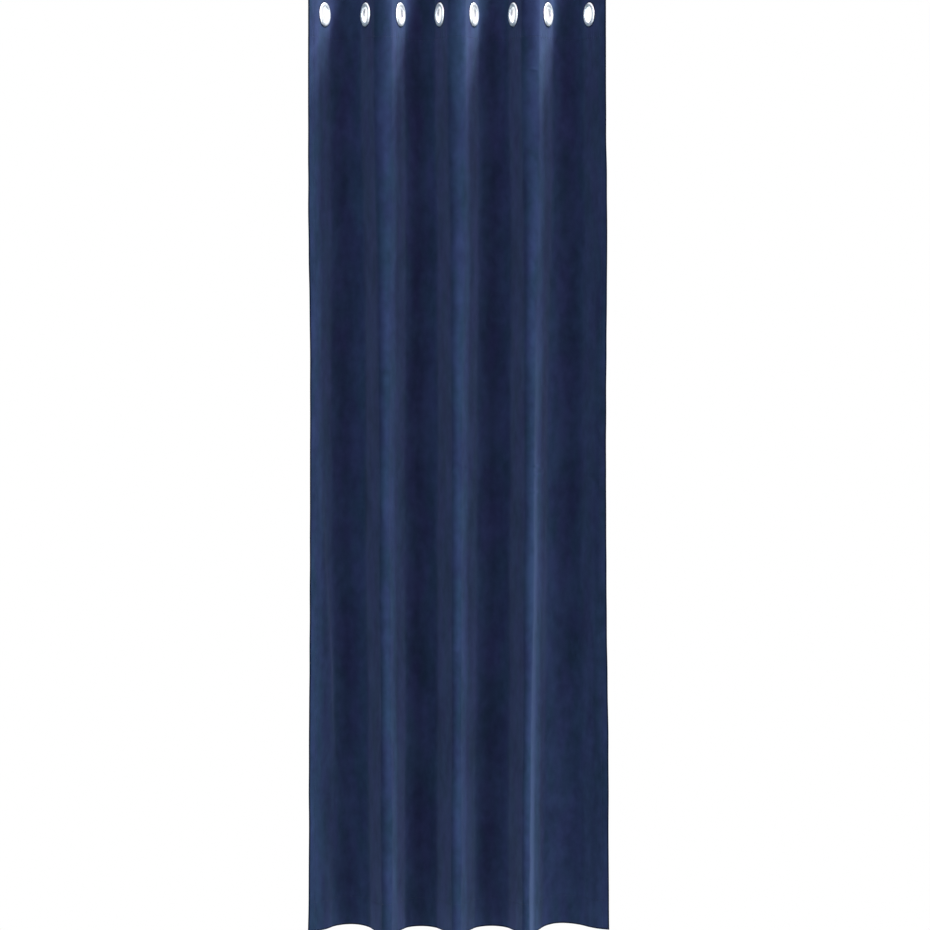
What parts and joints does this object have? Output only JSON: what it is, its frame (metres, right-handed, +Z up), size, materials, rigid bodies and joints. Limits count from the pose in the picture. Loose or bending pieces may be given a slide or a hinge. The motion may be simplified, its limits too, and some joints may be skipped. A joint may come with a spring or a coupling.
{
  "type": "velvet eyelet curtain panel",
  "caption": "Full-length velvet curtain panel hung in soft uneven folds, with a stiff heading band and silver ring eyelets for a rod.",
  "frame": {"origin": "middle of the heading's top edge, on the line of the rod that would carry it", "axes": "+X along the rod, from the left of the curtain to its right; -Y out of the front of the curtain; +Z up, so the hem is at z = -2.45 m"},
  "size_m": [0.782, 0.1348, 2.45],
  "materials": {
    "velvet": "cut velvet pile, matt with a soft sheen",
    "eyelet_silver": "bright satin"
  },
  "bodies": {
    "root": {"panel": "velvet", "heading": "velvet", "eyelet_front_1": "eyelet_silver", "eyelet_front_2": "eyelet_silver", "eyelet_front_3": "eyelet_silver", "eyelet_front_4": "eyelet_silver", "eyelet_front_5": "eyelet_silver", "eyelet_front_6": "eyelet_silver", "eyelet_front_7": "eyelet_silver", "eyelet_front_8": "eyelet_silver", "eyelet_back_1": "eyelet_silver", "eyelet_back_2": "eyelet_silver", "eyelet_back_3": "eyelet_silver", "eyelet_back_4": "eyelet_silver", "eyelet_back_5": "eyelet_silver", "eyelet_back_6": "eyelet_silver", "eyelet_back_7": "eyelet_silver", "eyelet_back_8": "eyelet_silver"}
  },
  "joints": []
}
